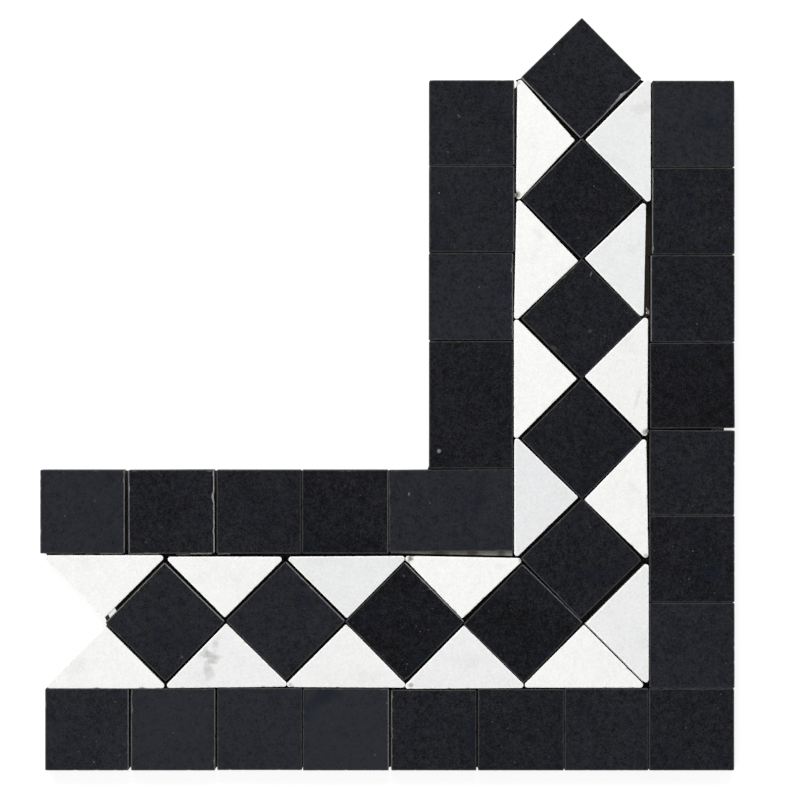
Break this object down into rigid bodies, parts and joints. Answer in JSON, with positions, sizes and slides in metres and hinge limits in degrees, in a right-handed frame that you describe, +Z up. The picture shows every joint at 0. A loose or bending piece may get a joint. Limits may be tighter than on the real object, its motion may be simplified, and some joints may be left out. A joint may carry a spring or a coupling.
{
  "type": "marble border corner tile",
  "caption": "L-shaped mesh-mounted floor border corner: black marble squares each side of a band of black diamonds in white triangles, with a point and a notch at the arm ends.",
  "frame": {"origin": "centre of the footprint's bounding box, on the underside of the backing mesh", "axes": "+Z up out of the walking face, +Y along the arm that ends in a point, -X along the arm that ends in a notch"},
  "size_m": [0.2028, 0.2198, 0.0104],
  "materials": {
    "black_marble": "honed, near matt",
    "white_marble": "honed, near matt",
    "mesh": "glass-fibre mesh with dried glue"
  },
  "bodies": {
    "root": {"corner_square": "black_marble", "mesh_corner": "mesh", "mesh_north_arm": "mesh", "mesh_north_point": "mesh", "mesh_west_inner": "mesh", "mesh_west_outer": "mesh", "north_diamond_1": "black_marble", "north_diamond_2": "black_marble", "north_diamond_3": "black_marble", "north_diamond_4": "black_marble", "north_diamond_5": "black_marble", "north_inner_bar": "black_marble", "north_inner_square_1": "black_marble", "north_inner_square_2": "black_marble", "north_inner_square_3": "black_marble", "north_inner_triangle_1": "white_marble", "north_inner_triangle_2": "white_marble", "north_inner_triangle_3": "white_marble", "north_inner_triangle_4": "white_marble", "north_outer_square_1": "black_marble", "north_outer_square_2": "black_marble", "north_outer_square_3": "black_marble", "north_outer_square_4": "black_marble", "north_outer_square_5": "black_marble", "north_outer_square_6": "black_marble", "north_outer_square_7": "black_marble", "north_outer_triangle_1": "white_marble", "north_outer_triangle_2": "white_marble", "north_outer_triangle_3": "white_marble", "north_outer_triangle_4": "white_marble", "north_outer_triangle_5": "white_marble", "west_diamond_1": "black_marble", "west_diamond_2": "black_marble", "west_diamond_3": "black_marble", "west_diamond_4": "black_marble", "west_inner_bar": "black_marble", "west_inner_square_1": "black_marble", "west_inner_square_2": "black_marble", "west_inner_square_3": "black_marble", "west_inner_square_4": "black_marble", "west_inner_triangle_1": "white_marble", "west_inner_triangle_2": "white_marble", "west_inner_triangle_3": "white_marble", "west_inner_triangle_4": "white_marble", "west_outer_square_1": "black_marble", "west_outer_square_2": "black_marble", "west_outer_square_3": "black_marble", "west_outer_square_4": "black_marble", "west_outer_square_5": "black_marble", "west_outer_square_6": "black_marble", "west_outer_square_7": "black_marble", "west_outer_triangle_1": "white_marble", "west_outer_triangle_2": "white_marble", "west_outer_triangle_3": "white_marble", "west_outer_triangle_4": "white_marble", "west_outer_triangle_5": "white_marble"}
  },
  "joints": []
}
